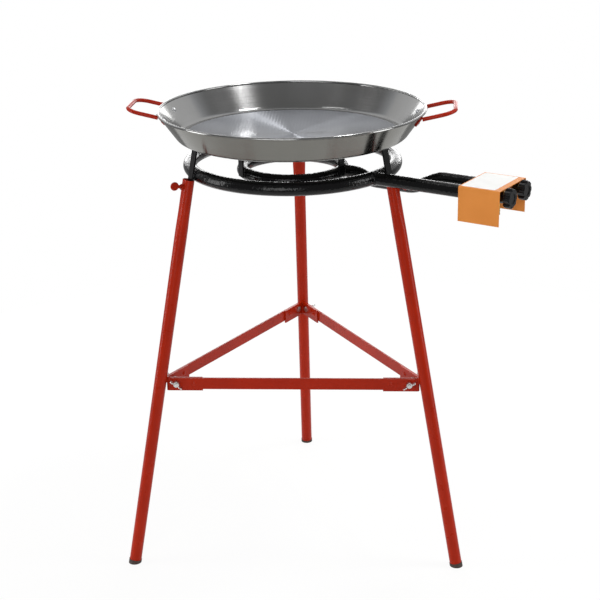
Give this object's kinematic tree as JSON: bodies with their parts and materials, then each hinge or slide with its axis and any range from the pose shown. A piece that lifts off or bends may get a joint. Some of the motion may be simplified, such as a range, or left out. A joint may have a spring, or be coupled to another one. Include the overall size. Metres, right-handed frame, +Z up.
{
  "type": "paella burner",
  "caption": "Gas paella burner: shallow steel pan on concentric ring burners, valves under a folded cover, leaning tube legs with a flat-bar brace.",
  "frame": {"origin": "centre of the object's box, on the floor", "axes": "+Z up, +X along the feed tubes towards the knobs, +Y to the left seen from above"},
  "size_m": [0.7508, 0.6492, 0.8666],
  "materials": {
    "pan_steel": "polished sheet",
    "rivet_aluminium": "satin",
    "black_enamel": "gloss enamel",
    "brass": "turned",
    "steel": "turned",
    "knob_plastic": "satin",
    "orange_paint": "satin",
    "plug_rubber": "matt",
    "zinc_steel": "zinc plated",
    "red_paint": "gloss"
  },
  "bodies": {
    "stand": {"outer_ring": "black_enamel", "inner_ring": "black_enamel", "outer_feed_tube": "black_enamel", "inner_feed_tube": "black_enamel", "pan_support_1": "black_enamel", "pan_support_2": "black_enamel", "pan_support_3": "black_enamel", "outer_injector": "brass", "inner_injector": "brass", "outer_valve_body": "brass", "inner_valve_body": "brass", "gas_manifold": "brass", "hose_tail": "brass", "valve_cover": "orange_paint", "leg_1": "red_paint", "leg_2": "red_paint", "leg_3": "red_paint", "foot_plug_1": "plug_rubber", "foot_plug_2": "plug_rubber", "foot_plug_3": "plug_rubber", "leg_bracket_1": "red_paint", "leg_bracket_2": "red_paint", "leg_bracket_3": "red_paint", "brace_bar_1": "red_paint", "brace_bar_2": "red_paint", "brace_bar_3": "red_paint", "leg_nuts": "red_paint", "brace_bolts": "zinc_steel", "brace_rivets": "red_paint"},
    "pan_body": {"pan": "pan_steel", "pan_handle_right": "red_paint", "pan_handle_left": "red_paint", "handle_rivets": "rivet_aluminium"},
    "outer_tap": {"outer_valve_stem": "steel", "outer_knob": "knob_plastic"},
    "inner_tap": {"inner_valve_stem": "steel", "inner_knob": "knob_plastic"},
    "screw_1": {"thumb_screw_1": "red_paint"},
    "screw_2": {"thumb_screw_2": "red_paint"},
    "screw_3": {"thumb_screw_3": "red_paint"},
    "nut_1": {"wing_nut_1": "zinc_steel"},
    "nut_2": {"wing_nut_2": "zinc_steel"},
    "nut_3": {"wing_nut_3": "zinc_steel"},
    "nut_4": {"wing_nut_4": "zinc_steel"},
    "nut_5": {"wing_nut_5": "zinc_steel"},
    "nut_6": {"wing_nut_6": "zinc_steel"}
  },
  "joints": [
    {"name": "pan_lift", "type": "slide", "parent": "stand", "child": "pan_body", "axis": [0, 0, 1], "range_m": [0, 0.15]},
    {"name": "outer_tap_turn", "type": "hinge", "parent": "stand", "child": "outer_tap", "pos_m": [0.36242, -0.03, 0.756], "axis": [1, 0, 0], "range_deg": [0, 180]},
    {"name": "inner_tap_turn", "type": "hinge", "parent": "stand", "child": "inner_tap", "pos_m": [0.36242, 0.03, 0.756], "axis": [1, 0, 0], "range_deg": [0, 180]},
    {"name": "screw_1_turn", "type": "hinge", "parent": "stand", "child": "screw_1", "pos_m": [0.12662, 0, 0.73627], "axis": [0.981, 0, 0.1942], "continuous": true},
    {"name": "screw_2_turn", "type": "hinge", "parent": "stand", "child": "screw_2", "pos_m": [-0.19543, 0.18594, 0.73627], "axis": [-0.4905, 0.8495, 0.1942], "continuous": true},
    {"name": "screw_3_turn", "type": "hinge", "parent": "stand", "child": "screw_3", "pos_m": [-0.19543, -0.18594, 0.73627], "axis": [-0.4905, -0.8495, 0.1942], "continuous": true},
    {"name": "nut_1_turn", "type": "hinge", "parent": "stand", "child": "nut_1", "pos_m": [0.17286, 0.01407, 0.363], "axis": [0.5, 0.866, 0], "continuous": true},
    {"name": "nut_2_turn", "type": "hinge", "parent": "stand", "child": "nut_2", "pos_m": [-0.20637, 0.23302, 0.363], "axis": [0.5, 0.866, 0], "continuous": true},
    {"name": "nut_3_turn", "type": "hinge", "parent": "stand", "child": "nut_3", "pos_m": [-0.23074, 0.21895, 0.363], "axis": [-1, 0, 0], "continuous": true},
    {"name": "nut_4_turn", "type": "hinge", "parent": "stand", "child": "nut_4", "pos_m": [-0.23074, -0.21895, 0.363], "axis": [-1, 0, 0], "continuous": true},
    {"name": "nut_5_turn", "type": "hinge", "parent": "stand", "child": "nut_5", "pos_m": [-0.20637, -0.23302, 0.363], "axis": [0.5, -0.866, 0], "continuous": true},
    {"name": "nut_6_turn", "type": "hinge", "parent": "stand", "child": "nut_6", "pos_m": [0.17286, -0.01407, 0.363], "axis": [0.5, -0.866, 0], "continuous": true}
  ]
}
